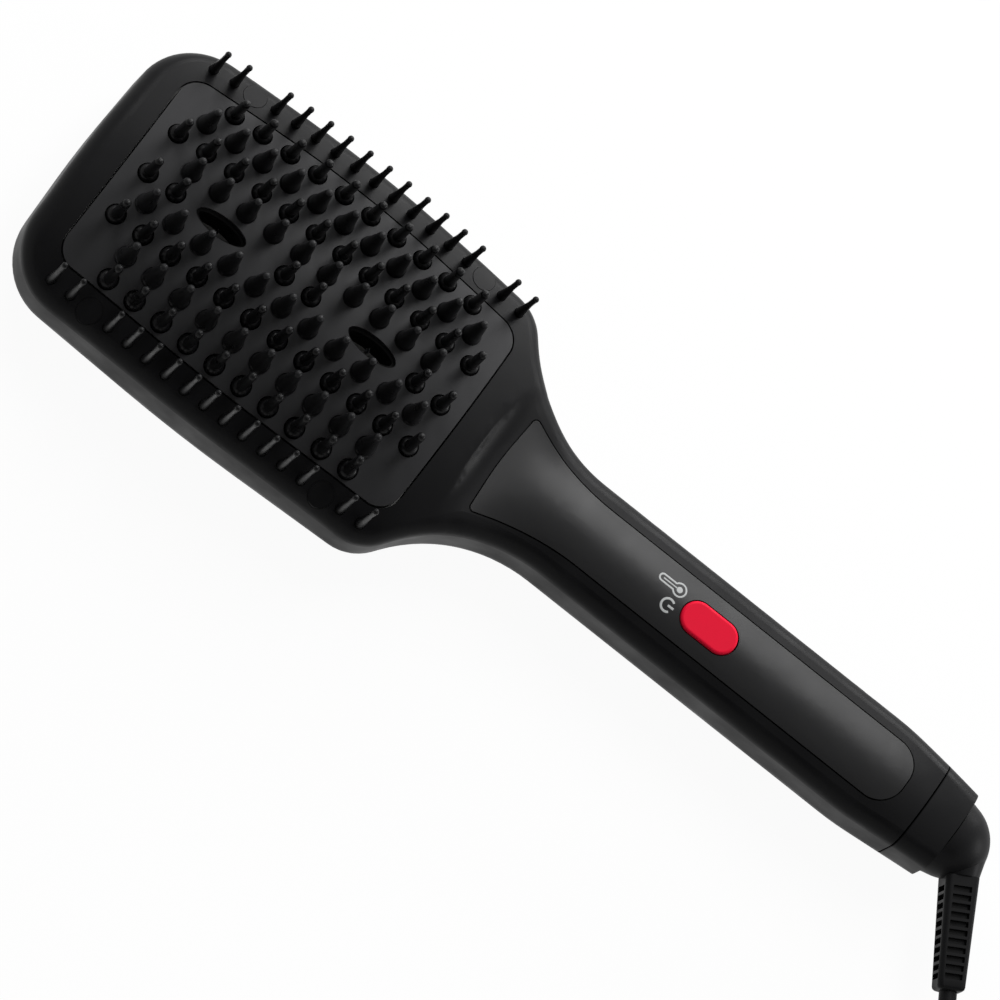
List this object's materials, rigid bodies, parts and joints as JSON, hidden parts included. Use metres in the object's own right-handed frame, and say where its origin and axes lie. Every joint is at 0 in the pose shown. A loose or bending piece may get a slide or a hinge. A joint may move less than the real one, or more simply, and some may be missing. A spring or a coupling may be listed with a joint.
{
  "type": "heated styling brush",
  "caption": "Corded paddle brush with a domed hot plate, heated cones among cool pins, guard bristles along both edges, a push button on the handle and a swivel cord.",
  "frame": {"origin": "bottom centre of the brush's own box, without the cord, on the flat back that it rests on", "axes": "+X from the head towards the cord end, +Z out of the bristled face, +Y to the left"},
  "size_m": [0.5113, 0.1094, 0.0536],
  "materials": {
    "shell": "fine soft-touch grain",
    "plate": "satin ceramic coat",
    "cone": "satin ceramic coat",
    "nylon": "smooth moulded nylon",
    "inner_plastic": "moulded",
    "panel": "satin",
    "button": "glossy red",
    "steel": "zinc plated",
    "spring_steel": "bright",
    "aluminium": "drawn",
    "sensor": "dipped resin",
    "fuse": "plated can",
    "ivory": "bare acetal",
    "silicone": "smooth insulation",
    "board": "solder mask",
    "lens": "cast resin",
    "capacitor": "moulded case",
    "brass": "bare",
    "cord": "smooth PVC",
    "plug_metal": "nickel plated"
  },
  "bodies": {
    "brush": {"front_housing": "shell", "back_housing": "shell", "heated_plate": "plate", "heated_bristles": "cone", "pin_bristles": "nylon", "bristle_carrier": "inner_plastic", "edge_bristles_left": "nylon", "edge_bristles_right": "nylon", "edge_strips_left": "inner_plastic", "edge_strips_right": "inner_plastic", "screw_caps": "nylon", "head_screws": "steel", "handle_screws": "steel", "board_screws": "steel", "plate_screws": "steel", "heater_bars": "aluminium", "heater_springs": "spring_steel", "thermistor": "sensor", "thermal_fuse": "fuse", "ion_nozzles": "inner_plastic", "ion_needles": "spring_steel", "ion_generator": "sensor", "heater_leads": "silicone", "sensor_leads": "silicone", "ion_leads": "silicone", "handle_inlay": "panel", "control_board": "board", "tact_switch": "sensor", "indicator_led": "lens", "power_triac": "sensor", "mains_capacitor": "capacitor", "end_cap": "shell", "swivel_bush": "ivory", "contact_block": "inner_plastic", "contact_springs": "brass", "mains_leads": "silicone"},
    "button": {"power_button": "button", "switch_plunger": "ivory"},
    "swivel": {"swivel_elbow": "shell", "slip_rings": "brass", "retaining_clip": "spring_steel", "strain_relief": "cord", "cord_lead": "cord", "cord_coil": "cord", "cord_tail": "cord", "plug_body": "shell", "plug_pins": "plug_metal"}
  },
  "joints": [
    {"name": "button_press", "type": "slide", "parent": "brush", "child": "button", "axis": [0, 0, -1], "range_m": [0, 0.0008], "stiffness_N_per_m": 1500, "springref_m": -0.0004},
    {"name": "cord_swivel", "type": "hinge", "parent": "brush", "child": "swivel", "pos_m": [0.14916, 0, 0.0142], "axis": [1, 0, 0], "continuous": true}
  ]
}
